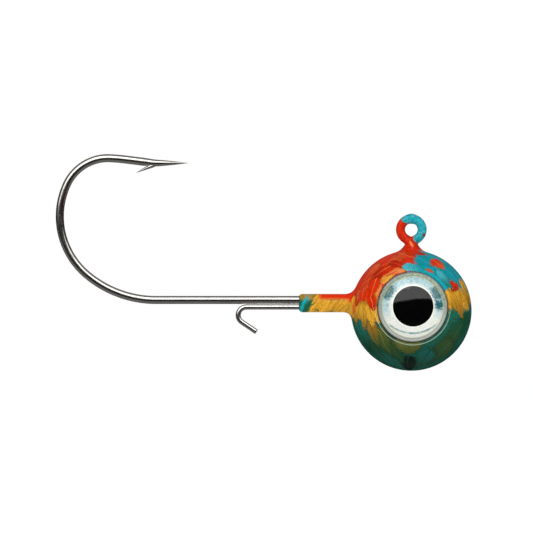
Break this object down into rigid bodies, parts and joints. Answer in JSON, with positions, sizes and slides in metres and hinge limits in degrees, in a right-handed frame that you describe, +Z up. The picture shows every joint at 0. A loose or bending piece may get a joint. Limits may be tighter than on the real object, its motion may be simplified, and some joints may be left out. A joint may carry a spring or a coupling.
{
  "type": "jig head",
  "caption": "Round-head fishing jig with a moulded-in hook, wire line tie, wire bait keeper and domed eyes.",
  "frame": {"origin": "centre of the line tie's hole, on the middle plane", "axes": "+X towards the nose and away from the hook's bend, +Y across the head from the eye that the front view shows to the other, +Z up through the line tie"},
  "size_m": [0.0534, 0.0156, 0.0278],
  "materials": {
    "lead": "as-cast lead alloy, hidden under the finish",
    "hook_steel": "bright nickel-plated high-carbon steel wire",
    "keeper_steel": "bright stainless spring wire",
    "painted_finish": "feather pattern in scarlet, gold and deep teal under gloss clear coat",
    "adhesive": "clear contact adhesive film",
    "eye_foil": "pearl foil with a gold and teal rim",
    "eye_pupil": "printed gloss black",
    "eye_dome": "clear domed epoxy"
  },
  "bodies": {
    "root": {"ball_casting": "lead", "hook": "hook_steel", "bait_keeper": "keeper_steel", "finish_coat": "painted_finish", "left_eye_adhesive": "adhesive", "left_eye_foil": "eye_foil", "left_eye_pupil": "eye_pupil", "left_eye_dome": "eye_dome", "right_eye_adhesive": "adhesive", "right_eye_foil": "eye_foil", "right_eye_pupil": "eye_pupil", "right_eye_dome": "eye_dome"}
  },
  "joints": []
}
